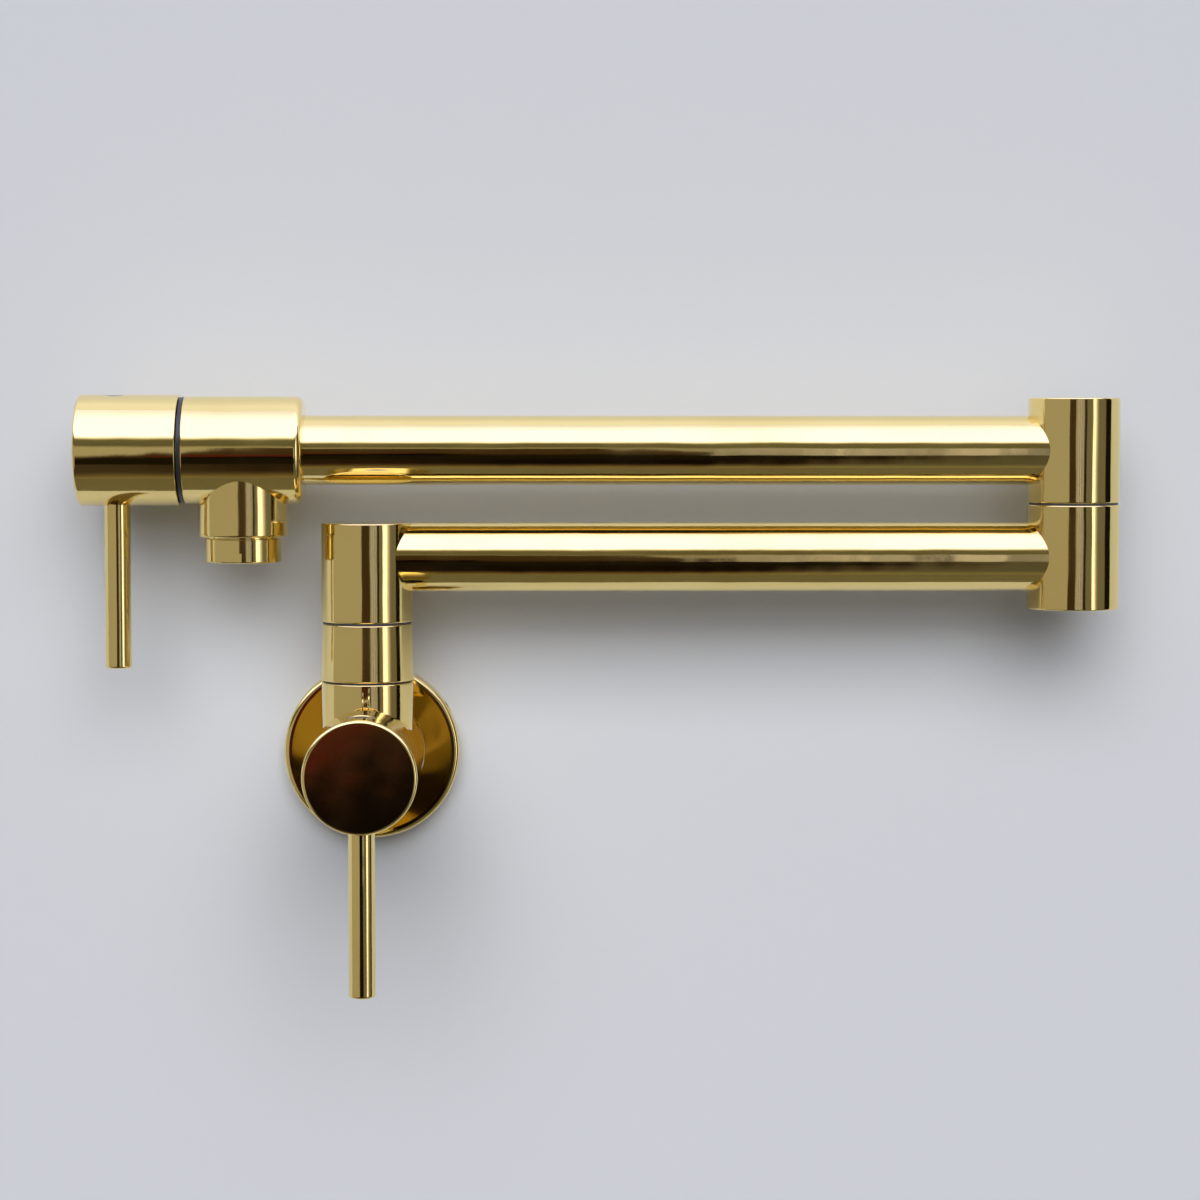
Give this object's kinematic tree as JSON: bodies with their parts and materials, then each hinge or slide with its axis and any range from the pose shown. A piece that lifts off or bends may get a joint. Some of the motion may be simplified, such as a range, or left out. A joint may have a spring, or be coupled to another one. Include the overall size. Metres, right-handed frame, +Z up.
{
  "type": "pot filler",
  "caption": "Wall-mounted brass pot filler: a folding double-jointed swing arm on a round wall flange, with a quarter-turn lever valve at the wall and another at the spout.",
  "frame": {"origin": "on the inlet axis, in the plane of the finished wall behind the flange", "axes": "+X along the folded arms from the column to the elbow, +Y into the wall, +Z up"},
  "size_m": [0.3374, 0.1031, 0.1893],
  "materials": {
    "polished_brass": "mirror polished, unlacquered, faintly hand-marked",
    "machined_brass": "as turned, fine lathe lines",
    "steel": "plain machined steel",
    "black_rubber": "matt",
    "black_acetal": "smooth, slightly glossy",
    "grey_acetal": "moulded",
    "grey_ptfe": "smooth",
    "white_ceramic": "lapped alumina"
  },
  "bodies": {
    "wall_valve": {"inlet_shank": "machined_brass", "wall_flange": "polished_brass", "flange_gasket": "black_rubber", "flange_grub_screw": "steel", "valve_body": "polished_brass", "collar_gasket": "black_rubber", "swivel_collar": "polished_brass", "wall_seat_seal": "black_rubber", "wall_fixed_disc": "white_ceramic", "wall_cartridge": "machined_brass", "wall_bonnet_nut": "machined_brass", "wall_spacer_ring": "black_acetal", "column_swivel_post": "machined_brass", "column_o_rings": "black_rubber", "column_thrust_washer": "grey_ptfe", "column_retaining_washer": "steel", "column_retaining_screw": "steel"},
    "wall_handle": {"wall_turning_disc": "white_ceramic", "wall_stem": "machined_brass", "wall_hub": "polished_brass", "wall_lever": "polished_brass", "wall_hub_screw": "steel"},
    "lower_arm": {"column_knuckle": "polished_brass", "column_cap": "polished_brass", "lower_arm_tube": "polished_brass", "elbow_lower_knuckle": "polished_brass", "elbow_swivel_post": "machined_brass", "elbow_o_rings": "black_rubber", "elbow_thrust_washer": "grey_ptfe", "elbow_retaining_washer": "steel", "elbow_retaining_screw": "steel"},
    "upper_arm": {"elbow_upper_knuckle": "polished_brass", "elbow_cap": "polished_brass", "upper_arm_tube": "polished_brass", "spout_body": "polished_brass", "aerator_housing": "polished_brass", "aerator_insert": "grey_acetal", "aerator_washer": "black_rubber", "spout_seat_seal": "black_rubber", "spout_fixed_disc": "white_ceramic", "spout_cartridge": "machined_brass", "spout_bonnet_nut": "machined_brass", "spout_spacer_ring": "black_acetal"},
    "spout_handle": {"spout_turning_disc": "white_ceramic", "spout_stem": "machined_brass", "spout_hub": "polished_brass", "spout_lever": "polished_brass", "spout_hub_screw": "steel"}
  },
  "joints": [
    {"name": "wall_lever_turn", "type": "hinge", "parent": "wall_valve", "child": "wall_handle", "pos_m": [0, -0.0726, 0], "axis": [0, -1, 0], "range_deg": [0, 90]},
    {"name": "column_swivel", "type": "hinge", "parent": "wall_valve", "child": "lower_arm", "pos_m": [0, -0.034, 0.0661], "axis": [0, 0, -1], "range_deg": [0, 180]},
    {"name": "elbow_swivel", "type": "hinge", "parent": "lower_arm", "child": "upper_arm", "pos_m": [0.23, -0.034, 0.1007], "axis": [0, 0, 1], "continuous": true},
    {"name": "spout_lever_turn", "type": "hinge", "parent": "upper_arm", "child": "spout_handle", "pos_m": [-0.0806, -0.034, 0.1007], "axis": [-1, 0, 0], "range_deg": [0, 90]}
  ]
}
